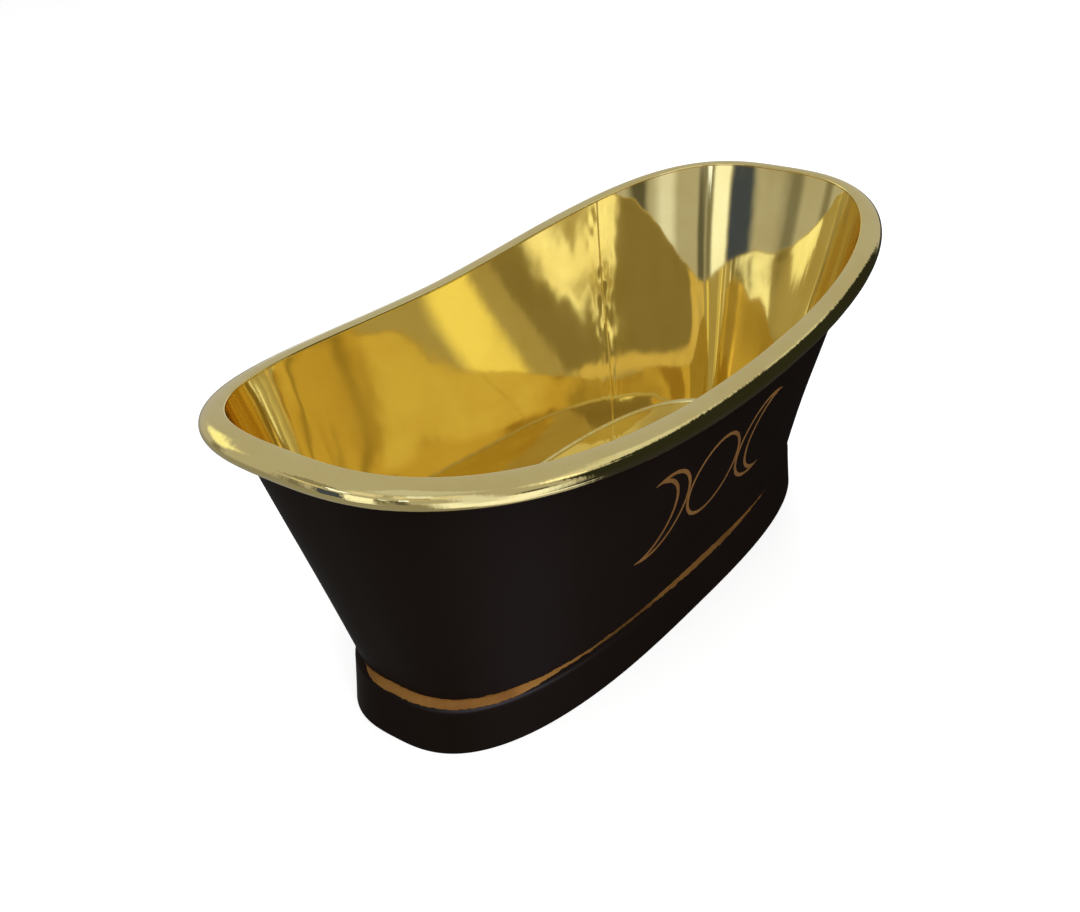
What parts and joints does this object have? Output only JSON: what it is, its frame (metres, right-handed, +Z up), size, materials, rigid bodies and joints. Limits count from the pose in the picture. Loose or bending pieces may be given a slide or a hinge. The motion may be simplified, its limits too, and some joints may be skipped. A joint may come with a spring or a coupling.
{
  "type": "bathtub",
  "caption": "Free-standing oval bath with raised ends, sloping sheet-metal wall, rolled rim, plinth skirt, floor waste with click plug and hidden levelling feet.",
  "frame": {"origin": "middle of the plinth's footprint, on the ground", "axes": "+X along the bath's length, +Y across it, +Z up"},
  "size_m": [1.7004, 0.85, 0.697],
  "materials": {
    "wall": "polished inside, black outside",
    "brass": "polished",
    "black_paint": "satin black",
    "frame_paint": "matt grey",
    "zinc": "zinc plated",
    "rubber": "matt",
    "plastic": "matt"
  },
  "bodies": {
    "tub": {"wall_sheet_far": "wall", "wall_sheet_near": "wall", "wall_seam_welds": "brass", "rim_roll_far": "brass", "rim_roll_near": "brass", "floor_plate": "brass", "floor_weld": "brass", "skirt_head": "black_paint", "skirt_foot": "black_paint", "rail_far": "frame_paint", "rail_near": "frame_paint", "cross_bearer_head": "frame_paint", "cross_bearer_foot": "frame_paint", "leveller_bushes": "zinc", "leveller_lock_nuts": "zinc", "waste_body": "brass", "waste_bridge": "brass", "waste_upper_washer": "rubber", "waste_lower_washer": "rubber", "waste_back_nut": "brass", "plug_cartridge": "plastic"},
    "plug": {"plug_cap": "brass", "plug_seal": "rubber", "plug_spindle": "brass"},
    "pad_head_near": {"leveller_pad_head_near": "plastic"},
    "stem_head_near": {"leveller_stem_head_near": "zinc"},
    "pad_head_far": {"leveller_pad_head_far": "plastic"},
    "stem_head_far": {"leveller_stem_head_far": "zinc"},
    "pad_foot_near": {"leveller_pad_foot_near": "plastic"},
    "stem_foot_near": {"leveller_stem_foot_near": "zinc"},
    "pad_foot_far": {"leveller_pad_foot_far": "plastic"},
    "stem_foot_far": {"leveller_stem_foot_far": "zinc"}
  },
  "joints": [
    {"name": "plug_lift", "type": "slide", "parent": "tub", "child": "plug", "axis": [0, 0, 1], "range_m": [0, 0.01]},
    {"name": "lift_head_near", "type": "slide", "parent": "tub", "child": "pad_head_near", "axis": [0, 0, -1], "range_m": [0, 0.014]},
    {"name": "turn_head_near", "type": "hinge", "parent": "pad_head_near", "child": "stem_head_near", "pos_m": [-0.375, -0.135, 0.03], "axis": [0, 0, -1], "range_deg": [0, 2880]},
    {"name": "lift_head_far", "type": "slide", "parent": "tub", "child": "pad_head_far", "axis": [0, 0, -1], "range_m": [0, 0.014]},
    {"name": "turn_head_far", "type": "hinge", "parent": "pad_head_far", "child": "stem_head_far", "pos_m": [-0.375, 0.135, 0.03], "axis": [0, 0, -1], "range_deg": [0, 2880]},
    {"name": "lift_foot_near", "type": "slide", "parent": "tub", "child": "pad_foot_near", "axis": [0, 0, -1], "range_m": [0, 0.014]},
    {"name": "turn_foot_near", "type": "hinge", "parent": "pad_foot_near", "child": "stem_foot_near", "pos_m": [0.375, -0.135, 0.03], "axis": [0, 0, -1], "range_deg": [0, 2880]},
    {"name": "lift_foot_far", "type": "slide", "parent": "tub", "child": "pad_foot_far", "axis": [0, 0, -1], "range_m": [0, 0.014]},
    {"name": "turn_foot_far", "type": "hinge", "parent": "pad_foot_far", "child": "stem_foot_far", "pos_m": [0.375, 0.135, 0.03], "axis": [0, 0, -1], "range_deg": [0, 2880]}
  ],
  "couplings": [
    {"joint": "turn_head_near", "follows": "lift_head_near", "rad_per_m": 3590.4},
    {"joint": "turn_head_far", "follows": "lift_head_far", "rad_per_m": 3590.4},
    {"joint": "turn_foot_near", "follows": "lift_foot_near", "rad_per_m": 3590.4},
    {"joint": "turn_foot_far", "follows": "lift_foot_far", "rad_per_m": 3590.4}
  ]
}
